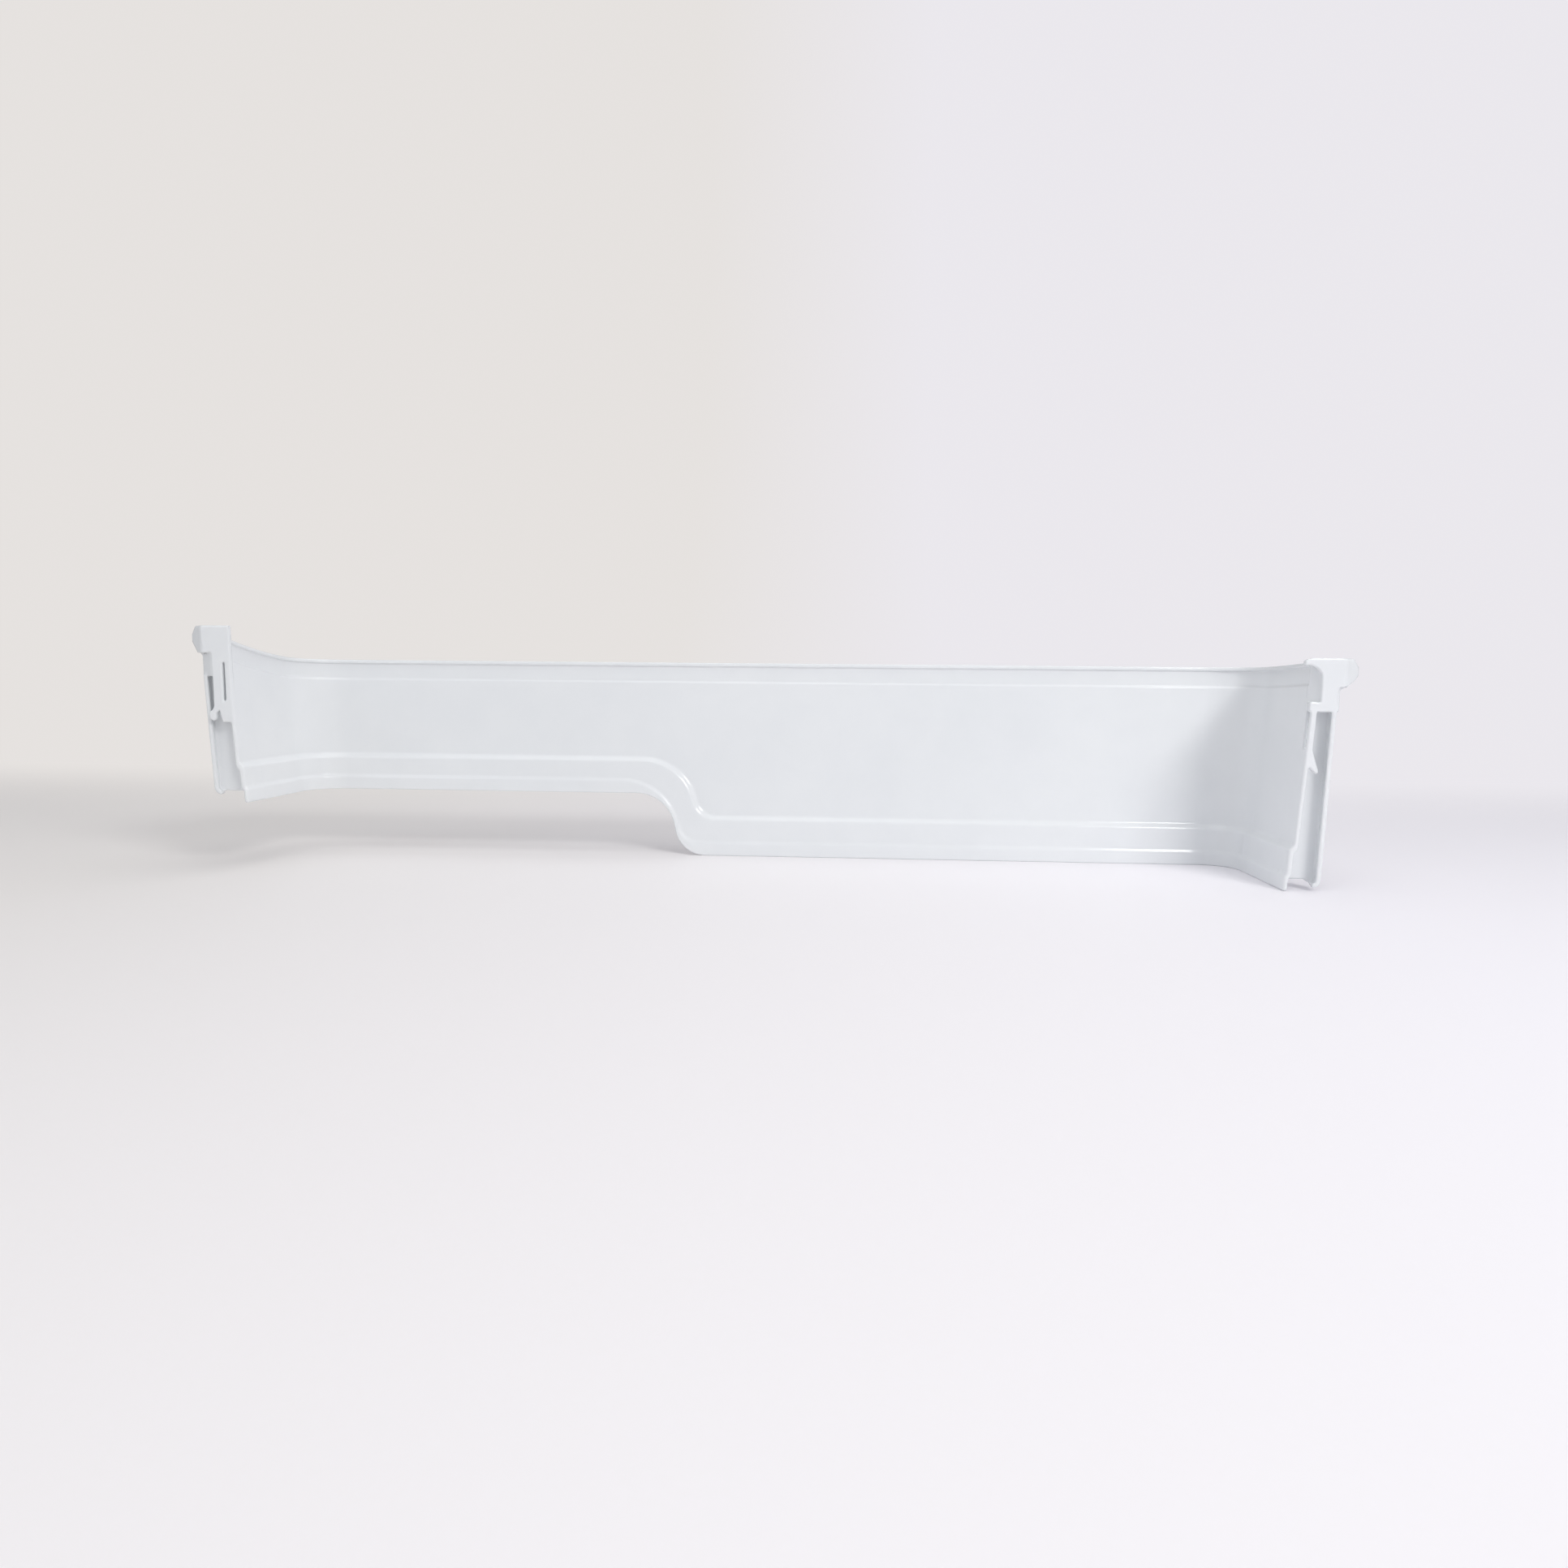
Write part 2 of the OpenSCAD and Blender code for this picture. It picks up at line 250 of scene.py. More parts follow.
def sweep_tree():
    """Node tree that carries a flat strip of a section round the bar and leans it outward."""
    tree = bpy.data.node_groups.new("sweep_leaning_wall", "GeometryNodeTree")
    for name, kind, way in (("Strip", "NodeSocketGeometry", "INPUT"),
                            ("Lean", "NodeSocketFloat", "INPUT"),
                            ("Finish", "NodeSocketMaterial", "INPUT"),
                            ("Wall", "NodeSocketGeometry", "OUTPUT")):
        tree.interface.new_socket(name, in_out=way, socket_type=kind)
    nodes, links = tree.nodes, tree.links
    group_in, group_out = nodes.new("NodeGroupInput"), nodes.new("NodeGroupOutput")

    def named(name, kind):
        n = nodes.new("GeometryNodeInputNamedAttribute")
        n.data_type = kind
        n.inputs["Name"].default_value = name
        return n.outputs["Attribute"]

    def maths(operation, a, b=None):
        n = nodes.new("ShaderNodeMath")
        n.operation = operation
        for i, v in enumerate(s for s in (a, b) if s is not None):
            if isinstance(v, (int, float)):
                n.inputs[i].default_value = v
            else:
                links.new(v, n.inputs[i])
        return n.outputs[0]

    def vector(operation, a, b=None, scale=None):
        n = nodes.new("ShaderNodeVectorMath")
        n.operation = operation
        links.new(a, n.inputs[0])
        if b is not None:
            links.new(b, n.inputs[1])
        if scale is not None:
            links.new(scale, n.inputs["Scale"])
        return n.outputs[0]

    lean, level = group_in.outputs["Lean"], named("level", "FLOAT")
    out = maths("ADD", maths("DIVIDE", named("offset", "FLOAT"), maths("COSINE", lean)),
                maths("MULTIPLY", level, maths("TANGENT", lean)))
    lift = nodes.new("ShaderNodeCombineXYZ")
    links.new(level, lift.inputs["Z"])
    place = vector("ADD", named("plan", "FLOAT_VECTOR"), lift.outputs[0])
    place = vector("ADD", place, vector("SCALE", named("outward", "FLOAT_VECTOR"), scale=out))
    move = nodes.new("GeometryNodeSetPosition")
    links.new(group_in.outputs["Strip"], move.inputs["Geometry"])
    links.new(place, move.inputs["Position"])
    real = nodes.new("GeometryNodeRealizeInstances")
    links.new(move.outputs[0], real.inputs[0])
    paint = nodes.new("GeometryNodeSetMaterial")
    links.new(real.outputs[0], paint.inputs["Geometry"])
    links.new(group_in.outputs["Finish"], paint.inputs["Material"])
    links.new(paint.outputs[0], group_out.inputs[0])
    return tree


def make_wall(finish):
    """The swept wall as a plain closed mesh."""
    st = wall_stations()
    w, z, slide = wall_rows(st)
    rows, cols = w.shape
    index = np.arange(rows * cols).reshape(rows, cols)
    a, b = index, np.roll(index, -1, axis=0)
    quads = np.stack([a[:, :-1], a[:, 1:], b[:, 1:], b[:, :-1]], -1).reshape(-1, 4)
    faces = quads.tolist() + [index[:, 0].tolist(), index[::-1, -1].tolist()]
    flat = np.stack(np.meshgrid(np.arange(rows), np.arange(cols), indexing="ij") + [0 * w], -1)
    strip = to_object("wall_strip", flat.reshape(-1, 3), faces)
    along_x = np.where(st[:, 3] == 1, 1.0, 0.0)
    plan = np.zeros((rows, cols, 3))
    plan[..., 0] = st[:, 0] + slide * along_x
    plan[..., 1] = st[:, 1] - MID_Y
    outward = np.zeros((rows, cols, 3))
    outward[..., 0], outward[..., 1] = st[:, 2], st[:, 3]
    for name, kind, key, data in (("plan", "FLOAT_VECTOR", "vector", plan * MM),
                                  ("outward", "FLOAT_VECTOR", "vector", outward),
                                  ("offset", "FLOAT", "value", w * MM),
                                  ("level", "FLOAT", "value", z * MM)):
        layer = strip.data.attributes.new(name, kind, "POINT")
        layer.data.foreach_set(key, data.astype(np.float32).ravel())
    sweep = strip.modifiers.new("sweep", "NODES")
    sweep.node_group = sweep_tree()
    keys = {s.name: s.identifier for s in sweep.node_group.interface.items_tree
            if s.in_out == "INPUT"}
    sweep[keys["Lean"]] = LEAN
    sweep[keys["Finish"]] = finish
    bpy.context.view_layer.update()
    made = bpy.data.meshes.new_from_object(strip.evaluated_get(
        bpy.context.evaluated_depsgraph_get()))
    strip.modifiers.remove(sweep)
    for name in ("plan", "outward", "offset", "level"):
        made.attributes.remove(made.attributes[name])
    strip.data = made
    return strip


# ---------------------------------------------------------------- distance fields


def soft_min(a, b, k):
    h = np.clip(0.5 + 0.5 * (b - a) / k, 0, 1)
    return b + (a - b) * h - k * h * (1 - h)


def soft_max(a, b, k):
    return -soft_min(-a, -b, k)


def outline(points, x, z):
    """Distance to a closed outline, negative inside."""
    pts = np.array(points, float)
    d = np.full(x.shape, 1e9)
    inside = np.zeros(x.shape, bool)
    for (ax, az), (bx, bz) in zip(pts, np.roll(pts, 1, axis=0)):
        ex, ez, wx, wz = bx - ax, bz - az, x - ax, z - az
        t = np.clip((wx * ex + wz * ez) / (ex * ex + ez * ez), 0, 1)
        d = np.minimum(d, (wx - ex * t) ** 2 + (wz - ez * t) ** 2)
        up, down, left = z >= az, z < bz, ex * wz > ez * wx
        inside ^= (up & down & left) | (~up & ~down & ~left)
    return np.where(inside, -1, 1) * np.sqrt(d)


def slab(d, y, y0, y1, r):
    """An outline's distance d drawn from y0 to y1, with edges rounded by r."""
    a, b = d + r, np.abs(y - (y0 + y1) / 2) - ((y1 - y0) / 2 - r)
    return np.minimum(np.maximum(a, b), 0) + np.hypot(np.maximum(a, 0), np.maximum(b, 0)) - r


def box(x, y, z, low, high, r=0.0):
    d = [np.abs(v - (a + b) / 2) - ((b - a) / 2 - r) for v, a, b in zip((x, y, z), low, high)]
    outer = np.sqrt(sum(np.maximum(v, 0) ** 2 for v in d))
    return outer + np.minimum(np.maximum(np.maximum(d[0], d[1]), d[2]), 0) - r


def end_wall(x, y, z, sign, base, band_top):
    """The near piece of an end wall, x counted outward on either side."""
    w = (x - HALF_W) * math.cos(LEAN) - z * math.sin(LEAN)
    top = top_edge(sign * x, y)
    d2, d1, down = z - (base + LIP_H), z - band_top, top - z
    d = np.maximum(inner_face(d2, d1, down) - w, w - outer_face(d2, d1, down))
    d = soft_max(d, base - z, 0.9)
    d = soft_max(d, z - top, 1.2)
    return soft_max(d, NEAR - y, 0.9)


def flange(x, y, z, x_top, z_top, x_foot, z_foot, back):
    """Leaning outer flange with its turned-in foot, flared in plan."""
    r, z0 = 4.2, z_foot + 4.2
    y0 = NEAR + back
    u = x - (y - y0) * math.tan(FLARE)
    plate = outline([(x_foot - FLANGE_T, z0), (x_foot, z0), (x_top, z_top),
                     (x_top - FLANGE_T, z_top)], u, z)
    mid = r - FLANGE_T / 2
    px, pz = u - (x_foot - r), z - z0
    quarter = np.abs(np.hypot(px, pz) - mid) - FLANGE_T / 2
    quarter = np.maximum(np.maximum(quarter, pz), -px)
    return slab(np.minimum(plate, quarter), y, y0, NEAR + CHANNEL_D + WEB_T, 0.6)


def web(x, y, z, base, band_top, z_bottom, z_top, x_top, x_foot, z_foot, back):
    z0 = z_foot + 4.2
    e = (CHANNEL_D + WEB_T / 2 - back) * math.tan(FLARE) - FLANGE_T / 2
    inner = [(HALF_W + reach(1.1, z_bottom), z_bottom),
             (HALF_W + reach(1.1, base + LIP_H), base + LIP_H),
             (HALF_W + reach(2.2, base + LIP_H), base + LIP_H),
             (HALF_W + reach(2.2, band_top), band_top),
             (HALF_W + reach(4.3, band_top), band_top),
             (HALF_W + reach(4.3, z_top), z_top)]
    outer = [(x_top + e, z_top), (x_foot + e, z0), (x_foot + e - 2.2, z0 - 3),
             (x_foot + e - 4.6, z0 - 2.2), (x_foot + e - 6.6, z_bottom)]
    return slab(outline(inner + outer, x, z), y, NEAR + CHANNEL_D, NEAR + CHANNEL_D + WEB_T, 0.4)


def head(x, y, z, top, neck_x, neck_out, in_x, inset):
    """Hollow head whose outer side falls back from the face in two slopes."""
    lobe, neck, bx = top - 12, top - 28, neck_x + neck_out

    def shape(m):
        d = outline([(in_x + m, neck + m), (bx - m, neck + m), (bx - m, lobe - 5 + m / 2),
                     (HEAD_REACH - 2.5 - m, lobe + 0.5 + m), (HEAD_REACH - m, lobe + 3 + m),
                     (HEAD_REACH - m, top - 4.5), (HEAD_REACH - 4.5, top - m),
                     (in_x + m, top - m)], x, z)
        return d

    def beyond(x0, run, back):
        n = math.hypot(run, back)
        return ((x - x0) * back - (y - NEAR) * run) / n

    def sloped(d, m, k):
        d = soft_max(d, beyond(FACE_X - m, 11, 9), k)
        low = np.maximum(beyond(neck_x - m, 9.2, 6), z - (lobe - 3))
        return soft_max(d, np.where(z < lobe - 3, low, -5), k)

    body = sloped(slab(shape(0), y, NEAR, NEAR + HEAD_D, 0.9), 0, 1.2)
    hollow = sloped(np.maximum(shape(WALL), NEAR + PLATE_T - y), 2 * WALL, 0.6)
    body = soft_max(body, -hollow, 0.6)
    if inset:
        cut = ((x - HEAD_IN) * 18 - (y - NEAR) * 13) / math.hypot(18, 13)
        body = soft_max(body, -cut, 0.8)
    return body


LEFT_TOP, RIGHT_TOP = 137.0, 124.0
LEFT_TIP = LEFT_TOP - 47
LEFT_FACE = [(HEAD_IN, LEFT_TOP), (FACE_X - 1.8, LEFT_TOP), (FACE_X - 0.4, LEFT_TOP - 0.6),
             (FACE_X, LEFT_TOP - 2), (FACE_X, LEFT_TOP - 8.7), (308.2, LEFT_TOP - 11.1),
             (306.9, LEFT_TOP - 12.3), (304.8, LEFT_TOP - 13.1), (303.6, LEFT_TOP - 14.3),
             (303.3, LEFT_TOP - 16.5), (303.3, LEFT_TIP + 2.4), (304.2, LEFT_TIP + 0.6),
             (306.4, LEFT_TIP - 1.2), (306.5, LEFT_TIP - 2.9), (305.9, LEFT_TIP - 4.6),
             (304.3, LEFT_TIP - 5.7), (302.9, LEFT_TIP - 5.2), (302.3, LEFT_TIP - 3.8),
             (302.2, LEFT_TIP - 1.2), (300.3, LEFT_TIP + 0.4), (299.6, LEFT_TIP - 3.4),
             (298.6, LEFT_TIP - 6.5), (HEAD_IN + 0.5, LEFT_TIP - 6.5),
             (HEAD_IN + 1, LEFT_TIP + 4), (HEAD_IN, LEFT_TIP + 5)]


def left_field(x, y, z):
    """Distance field of the left bracket with the end of the wall, x counted to the left."""
    neck_z = LEFT_TOP - 27
    d = end_wall(x, y, z, -1, STEP_RISE, STEP_RISE + LIP_H + BAND_H_LEFT)
    d = soft_min(d, web(x, y, z, STEP_RISE, STEP_RISE + LIP_H + BAND_H_LEFT, STEP_RISE + 5.8,
                        neck_z, 310.8, 307.6, STEP_RISE + 4, PLATE_T + 0.6), 0.9)
    d = soft_min(d, head(x, y, z, LEFT_TOP, 303.3, 9, HEAD_IN, True), 0.8)
    d = soft_min(d, slab(outline(LEFT_FACE, x, z), y, NEAR, NEAR + PLATE_T, 0.55), 0.6)
    d = soft_min(d, flange(x, y, z, 310.8, neck_z, 307.6, STEP_RISE + 4, PLATE_T + 0.6), 0.9)
    slot = box(x, y, z, (296.2, NEAR - 2, LEFT_TOP - 41.5), (297.6, NEAR + 4, LEFT_TOP - 20.2))
    return soft_max(d, -slot, 0.5)


RIGHT_FACE = [(HEAD_IN - 5, RIGHT_TOP - 1.6), (HEAD_IN - 3.2, RIGHT_TOP - 0.5),
              (HEAD_IN - 1, RIGHT_TOP), (FACE_X - 1.8, RIGHT_TOP), (FACE_X, RIGHT_TOP - 2),
              (FACE_X, RIGHT_TOP - 10), (307.4, RIGHT_TOP - 13.2), (306.1, RIGHT_TOP - 16),
              (305.4, RIGHT_TOP - 19.4), (305.1, RIGHT_TOP - 23), (305.1, RIGHT_TOP - 28),
              (HEAD_IN - 1.5, RIGHT_TOP - 28), (HEAD_IN - 1.5, RIGHT_TOP - 20),
              (HEAD_IN - 5, RIGHT_TOP - 10)]
HOOK_Z = RIGHT_TOP - 48.5
RIGHT_FINGER = [(292, HOOK_Z + 3), (293, HOOK_Z + 22), (295.6, HOOK_Z + 22), (294.4, HOOK_Z),
                (298, HOOK_Z - 10.6), (297.6, HOOK_Z - 12.8), (295.8, HOOK_Z - 11.5),
                (292, HOOK_Z - 7.7)]
CUT_X, CUT_R = 297.6, 8.0


def right_field(x, y, z):
    """Distance field of the right bracket with the end of the wall."""
    neck_z = RIGHT_TOP - 27
    d = end_wall(x, y, z, 1, 0.0, LIP_H + BAND_H)
    room = box(x, y, z, (HALF_W, NEAR - 2, RIGHT_TOP - 23), (HALF_W + 14, NEAR + 7, 121))
    d = soft_max(d, -room, 0.6)
    slot_z = RIGHT_TOP - 26.5
    slot = box(x, y, z, (HALF_W, NEAR + 2.2, slot_z - 21.3), (HALF_W + 14, NEAR + 5.4, slot_z))
    d = soft_max(d, -slot, 0.5)
    z0 = RIGHT_TOP - 24.5
    x0 = HALF_W + reach(LIP_JOG + BAND_JOG, z0)
    u = x - (z - z0) * math.tan(LEAN / 2)
    flare = outline([(x0, NEAR + 7), (CUT_X, NEAR + 0.5), (CUT_X + WALL, NEAR + 0.5),
                     (CUT_X + WALL, NEAR + 2), (x0 + WALL, NEAR + 8)], u, y)
    flare = np.maximum(np.maximum(flare, z0 - z), z - z0 - 21.5)
    d = soft_min(d, flare, 0.8)
    d = soft_min(d, web(x, y, z, 0, LIP_H + BAND_H, 5.4, neck_z, 305.5, 302.9, 1.9, 0), 0.9)
    d = soft_min(d, head(x, y, z, RIGHT_TOP, 305.1, 2.5, 297.0, False), 0.8)
    face = outline(RIGHT_FACE, x, z)
    cut = np.hypot(x - (CUT_X - CUT_R), z - (RIGHT_TOP - 11.7)) - CUT_R
    gap = np.maximum(np.abs(x - (CUT_X - 10)) - 10, np.abs(z - (RIGHT_TOP - 17.35)) - 5.65)
    face = np.maximum(face, -np.minimum(cut, gap))
    d = soft_min(d, slab(face, y, NEAR, NEAR + PLATE_T, 0.55), 0.6)
    d = soft_min(d, slab(outline(RIGHT_FINGER, x, z), y, NEAR, NEAR + 2.2, 0.5), 0.6)
    return soft_min(d, flange(x, y, z, 305.5, neck_z, 302.9, 1.9, 0), 0.9)


def surface_net(field, xs, ys, zs):
    """Points and quads of the surface where the field is zero, on a grid of uneven steps."""
    axes = (xs, ys, zs)
    grid = np.meshgrid(*axes, indexing="ij")
    value = field(*grid)
    solid = value < 0
    cells = tuple(n - 1 for n in value.shape)
    total, count = np.zeros(cells + (3,)), np.zeros(cells)
    crossings = []
    for a in range(3):
        low = tuple(slice(None, -1) if i == a else slice(None) for i in range(3))
        high = tuple(slice(1, None) if i == a else slice(None) for i in range(3))
        cross = solid[low] != solid[high]
        v0, v1 = value[low], value[high]
        t = np.where(cross, v0 / np.where(cross, v0 - v1, 1), 0)
        point = np.stack([g[low] + (g[high] - g[low]) * t for g in grid], -1)
        b, c = (i for i in range(3) if i != a)
        for sb in (0, 1):
            for sc in (0, 1):
                src, dst = [slice(None)] * 3, [slice(None)] * 3
                for axis, s in ((b, sb), (c, sc)):
                    n = cross.shape[axis]
                    src[axis] = slice(s, n - 1 + s)
                    dst[axis] = slice(0, n - 1)
                m = cross[tuple(src)]
                total[tuple(dst)] += point[tuple(src)] * m[..., None]
                count[tuple(dst)] += m
        crossings.append((a, b, c, cross, solid[low]))
    used = count > 0
    index = np.full(cells, -1)
    index[used] = np.arange(used.sum())
    points = total[used] / count[used][:, None]
    quads = []
    for a, b, c, cross, lower_solid in crossings:
        inner = [slice(None)] * 3
        inner[b] = inner[c] = slice(1, -1)
        at = np.argwhere(cross[tuple(inner)])
        at[:, b] += 1
        at[:, c] += 1
        corners = []
        for sb, sc in ((1, 1), (0, 1), (0, 0), (1, 0)):
            k = at.copy()
            k[:, b] -= sb
            k[:, c] -= sc
            corners.append(index[k[:, 0], k[:, 1], k[:, 2]])
        quad = np.stack(corners, -1)
        keep = lower_solid[at[:, 0], at[:, 1], at[:, 2]]
        if a == 1:
            keep = ~keep
        quads.append(np.where(keep[:, None], quad, quad[:, ::-1]))
    return points, np.vstack(quads)


def settle(field, points, quads, rounds=4):
    """Evens the points out and pulls them onto the surface."""
    pairs = np.vstack([quads[:, [i, (i + 1) % 4]] for i in range(4)])
    near = np.zeros(len(points))
    np.add.at(near, pairs[:, 0], 1)
    np.add.at(near, pairs[:, 1], 1)
    h = 0.04
    for i in range(rounds):
        if i < rounds - 1:
            mean = np.zeros_like(points)
            np.add.at(mean, pairs[:, 0], points[pairs[:, 1]])
            np.add.at(mean, pairs[:, 1], points[pairs[:, 0]])
            points = points + 0.5 * (mean / near[:, None] - points)
        for _ in range(2):
            d = field(*points.T)
            slope = np.stack([(field(*(points + h * e).T) - field(*(points - h * e).T)) / (2 * h)
                              for e in np.eye(3)], -1)
            steep = np.maximum((slope ** 2).sum(1), 0.25)
            step = np.clip(d / steep, -0.4, 0.4)[:, None] * slope
            points = points - step
    return points


def steps(*spans):
    """Grid lines from spans of (start, end, largest step)."""
    lines = [np.linspace(a, b, int(math.ceil((b - a) / s)), endpoint=False) for a, b, s in spans]
    return np.append(np.concatenate(lines), spans[-1][1])


def make_bracket(name, side):
    ys = steps((NEAR - 1.2, NEAR + 4, 0.58), (NEAR + 4, NEAR + 16, 0.8),
               (NEAR + 16, SEAM - 0.5, 1.2),
               (SEAM - 0.5, SEAM + 1, 0.25), (SEAM + 1, SEAM + OVERLAP + 1.2, 1.1))
    if side < 0:
        solid, top = left_field, LEFT_TOP
        zs = steps((STEP_RISE - 1.5, 62, 0.78), (62, 81, 1.8), (81, 138.2, 0.74))
    else:
        solid, top = right_field, RIGHT_TOP
        zs = steps((-1.5, 27, 0.78), (27, 60, 1.9), (60, 125.2, 0.74))
    xs = steps((282.5, 312, 0.6), (312, 321.2, 0.8))

    def field(x, y, z):
        sunk = TUCK * np.clip((y - SEAM - 0.02) / 0.3, 0, 1)
        cut = np.maximum(y - SEAM - OVERLAP, np.maximum(NEAR - y, z - top))
        return np.maximum(solid(x, y, z) + sunk, cut)

    points, quads = surface_net(field, xs, ys, zs)
    points = settle(field, points, quads)
    points[:, 0] *= side
    if side < 0:
        quads = quads[:, ::-1]
    return to_object(name, points, quads.tolist())


# ---------------------------------------------------------------- materials


class Wire:
    """A node socket that Python's operators build maths on."""

    def __init__(self, tree, socket):
        self.tree, self.socket = tree, socket

    def _maths(self, operation, a, b):
        n = self.tree.nodes.new("ShaderNodeMath")
        n.operation = operation
        for i, v in enumerate((a, b)):
            if isinstance(v, Wire):
                self.tree.links.new(v.socket, n.inputs[i])
            else:
                n.inputs[i].default_value = v
        return Wire(self.tree, n.outputs[0])

    def __add__(self, o): return self._maths("ADD", self, o)
    def __radd__(self, o): return self._maths("ADD", o, self)
    def __sub__(self, o): return self._maths("SUBTRACT", self, o)
    def __rsub__(self, o): return self._maths("SUBTRACT", o, self)
    def __mul__(self, o): return self._maths("MULTIPLY", self, o)
    def __rmul__(self, o): return self._maths("MULTIPLY", o, self)
    def __truediv__(self, o): return self._maths("DIVIDE", self, o)


class Finish:
    """A material whose nodes are written as expressions."""

    def __init__(self, name):
        self.material = bpy.data.materials.new(name)
        self.material.use_nodes = True
        self.tree = self.material.node_tree
        self.shader = self.tree.nodes["Principled BSDF"]

    def node(self, kind, settings=None, out=0, **values):
        """Adds a node: settings first, then values or links of its sockets by name."""
        n = self.tree.nodes.new(kind)
        for key, value in (settings or {}).items():
            if key == "stops":
                ramp = n.color_ramp.elements
                while len(ramp) < len(value):
                    ramp.new(0.5)
                for e, (at, colour) in zip(ramp, value):
                    e.position, e.color = at, (*colour, 1.0)
            else:
                setattr(n, key, value)
        for key, value in values.items():
            name = key.replace("_", " ")
            socket = next(s for s in n.inputs if s.name == name and s.enabled)
            if isinstance(value, Wire):
                self.tree.links.new(value.socket, socket)
            else:
                socket.default_value = value
        outs = [s for s in n.outputs if s.enabled]
        return Wire(self.tree, outs[out] if isinstance(out, int) else n.outputs[out])

    def feed(self, socket, wire):
        self.tree.links.new(wire.socket, self.shader.inputs[socket])


def linear(r, g, b):
    """A screen colour as the render's linear one."""
    return tuple(c / 12.92 if c <= 0.04045 else ((c + 0.055) / 1.055) ** 2.4 for c in (r, g, b))


def white_plastic():
    f = Finish("white_plastic")
    where = f.node("ShaderNodeTexCoord", out="Object")
    cloud = f.node("ShaderNodeTexNoise", Vector=where, Scale=9.0, Detail=4.0, Roughness=0.55)
    flow = f.node("ShaderNodeTexNoise", Vector=where, Scale=60.0, Detail=3.0, Roughness=0.5)
    grain = f.node("ShaderNodeTexNoise", Vector=where, Scale=1400.0, Detail=2.0)
    tone = cloud * 0.7 + flow * 0.3
    f.feed("Base Color", f.node("ShaderNodeValToRGB", {"stops": [
        (0.3, linear(0.905, 0.915, 0.925)), (0.7, linear(0.925, 0.933, 0.94))]}, Fac=tone))
    f.feed("Roughness", 0.09 + flow * 0.07 + grain * 0.03)
    height = flow * 0.6 + grain * 0.05
    f.feed("Normal", f.node("ShaderNodeBump", Strength=0.08, Distance=0.0004, Height=height))
    f.shader.inputs["IOR"].default_value = 1.5
    return f.material


def floor_finish():
    """Pale paper, warmer on the left, that glows to the camera alone where it lies behind."""
    f = Finish("pale_floor")
    where = f.node("ShaderNodeTexCoord", out="Object")
    across = f.node("ShaderNodeSeparateXYZ", out="X", Vector=where)
    behind = f.node("ShaderNodeSeparateXYZ", out="Y", Vector=where)
    paper = f.node("ShaderNodeTexNoise", Vector=where, Scale=500.0, Detail=3.0)
    tint = f.node("ShaderNodeValToRGB", {"stops": [
        (0.1, linear(0.935, 0.92, 0.91)), (0.9, linear(0.955, 0.945, 0.965))]},
        Fac=0.5 + across * 1.2 + paper * 0.1)
    f.feed("Base Color", tint)
    f.shader.inputs["Roughness"].default_value = 0.6
    glow = f.node("ShaderNodeEmission", Color=tint, Strength=0.92)
    seen = f.node("ShaderNodeLightPath", out="Is Camera Ray")
    far = f.node("ShaderNodeMapRange", {"interpolation_type": "SMOOTHSTEP"}, out="Result",
                 Value=behind, From_Min=0.12, From_Max=0.6)
    mix = f.tree.nodes.new("ShaderNodeMixShader")
    f.tree.links.new((seen * far).socket, mix.inputs[0])
    f.tree.links.new(f.shader.outputs[0], mix.inputs[1])
    f.tree.links.new(glow.socket, mix.inputs[2])
    f.tree.links.new(mix.outputs[0], f.tree.nodes["Material Output"].inputs["Surface"])
    return f.material


# ---------------------------------------------------------------- build

plastic = white_plastic()
wall = make_wall(plastic)
parts = [wall, make_bracket("left_bracket", -1), make_bracket("right_bracket", 1)]
for part in parts:
    for poly in part.data.polygons:
        poly.use_smooth = True
    if not part.data.materials:
        part.data.materials.append(plastic)
# keeps the flat ends of the wall from being shaded round
wall.data.set_sharp_from_angle(angle=math.radians(50))
with bpy.context.temp_override(active_object=wall, selected_editable_objects=parts):
    bpy.ops.object.join()
bar = wall
bar.name = bar.data.name = "door_bar_moulding"
print("moulding", len(bar.data.polygons), "faces")
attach(bar, "root")
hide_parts("door_bar")


# ---------------------------------------------------------------- floor, camera, light

def camera_matrix(place, yaw, pitch, roll):
    """Pose of the camera from its place in millimetres and its three angles in degrees."""
    yaw, pitch, roll = (math.radians(a) for a in (yaw, pitch, roll))
    ahead = Vector((math.sin(yaw) * math.cos(pitch), math.cos(yaw) * math.cos(pitch),
                    -math.sin(pitch)))
    right = Vector((math.cos(yaw), -math.sin(yaw), 0))
    up = right.cross(ahead)
    r = right * math.cos(roll) + up * math.sin(roll)
    u = up * math.cos(roll) - right * math.sin(roll)
    m = Matrix((r, u, -ahead)).transposed().to_4x4()
    m.translation = Vector((place[0], place[1] - MID_Y, place[2])) * MM
    return m


camera = bpy.data.objects.new("camera", bpy.data.cameras.new("camera"))
bpy.context.scene.collection.objects.link(camera)
camera.data.sensor_width = 36.0
camera.data.lens = 36.0 * 1242.2 / 1932
camera.data.clip_start = 0.01
camera.matrix_world = camera_matrix((45.35, -620.0, 110.74), -3.132, 5.972, 0.547)
bpy.context.scene.camera = camera

FLOOR_BACK, FLOOR_TURN, FLOOR_REACH = 1.4, 1.2, 5.0


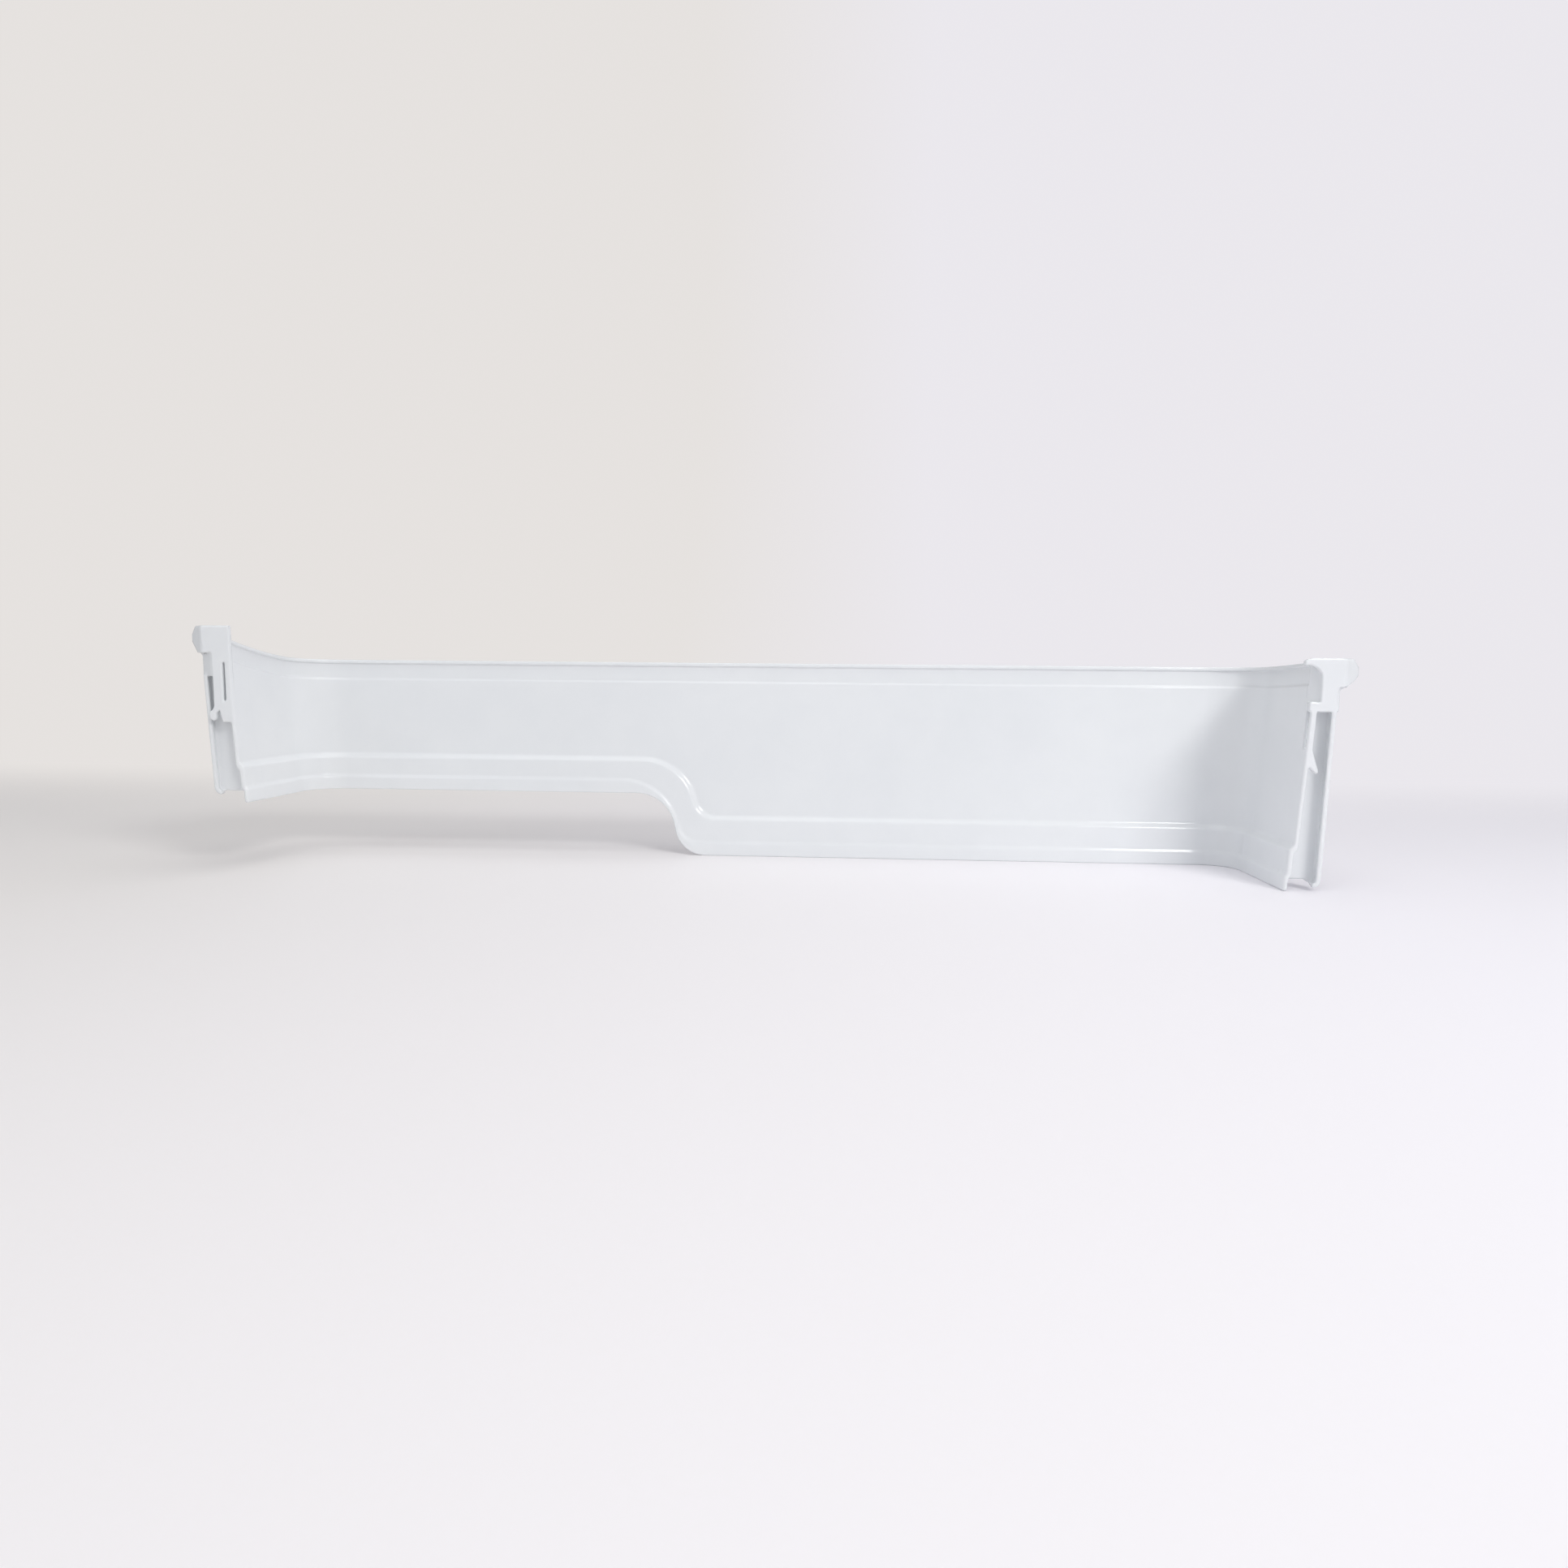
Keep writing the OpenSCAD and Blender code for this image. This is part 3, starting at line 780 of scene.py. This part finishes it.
def sweep_floor():
    """Pale floor that turns up into a backdrop in one arc, as in a photo studio."""
    bend = [(FLOOR_BACK + FLOOR_TURN * math.sin(a), FLOOR_TURN * (1 - math.cos(a)))
            for a in np.linspace(0, math.pi / 2, 33)]
    line = [(-FLOOR_REACH, 0.0), (-1.0, 0.0)] + bend + [(FLOOR_BACK + FLOOR_TURN, 4.0)]
    points = [(x, y, z) for x in (-FLOOR_REACH, FLOOR_REACH) for y, z in line]
    n = len(line)
    faces = [(i, n + i, n + i + 1, i + 1) for i in range(n - 1)]
    mesh = bpy.data.meshes.new("floor")
    mesh.from_pydata(points, [], faces)
    for poly in mesh.polygons:
        poly.use_smooth = True
    return mesh


floor_mesh = sweep_floor()
floor = bpy.data.objects.new("floor", floor_mesh)
bpy.context.scene.collection.objects.link(floor)
floor_mesh.materials.append(floor_finish())


def soft_lamp(name, place, aim, size, power, colour):
    """A rectangular lamp, in metres and watts, turned from its place toward its aim."""
    lamp = bpy.data.objects.new(name, bpy.data.lights.new(name, "AREA"))
    bpy.context.scene.collection.objects.link(lamp)
    lamp.data.shape = "RECTANGLE"
    lamp.data.size, lamp.data.size_y = size
    lamp.data.energy = power
    lamp.data.color = colour
    lamp.location = place
    lamp.rotation_euler = (Vector(aim) - Vector(place)).to_track_quat("-Z", "Y").to_euler()
    return lamp


soft_lamp("lamp_key", (0.85, -1.0, 0.95), (0.05, 0, 0.05), (0.5, 0.36), 8.6, (1.0, 0.99, 0.975))
soft_lamp("lamp_fill", (-1.2, -1.3, 0.8), (-0.1, 0, 0.05), (0.9, 0.9), 2.6, (0.9, 0.93, 1.0))
soft_lamp("lamp_over", (0.1, -0.1, 1.7), (0, 0, 0.0), (2.0, 1.2), 9.2, (1.0, 0.995, 0.985))

# the room gives soft light, and the camera alone sees it paler than it shines
world = bpy.data.worlds.new("room")
bpy.context.scene.world = world
world.use_nodes = True
room = world.node_tree
sky = room.nodes["Background"]
sky.inputs["Color"].default_value = (0.90, 0.92, 0.95, 1)
sky.inputs["Strength"].default_value = 0.52
pale = room.nodes.new("ShaderNodeBackground")
pale.inputs["Color"].default_value = (*linear(0.925, 0.915, 0.92)[:3], 1)
mix = room.nodes.new("ShaderNodeMixShader")
room.links.new(room.nodes.new("ShaderNodeLightPath").outputs["Is Camera Ray"], mix.inputs[0])
room.links.new(sky.outputs[0], mix.inputs[1])
room.links.new(pale.outputs[0], mix.inputs[2])
room.links.new(mix.outputs[0], room.nodes["World Output"].inputs["Surface"])
bpy.context.scene.view_settings.view_transform = "Standard"
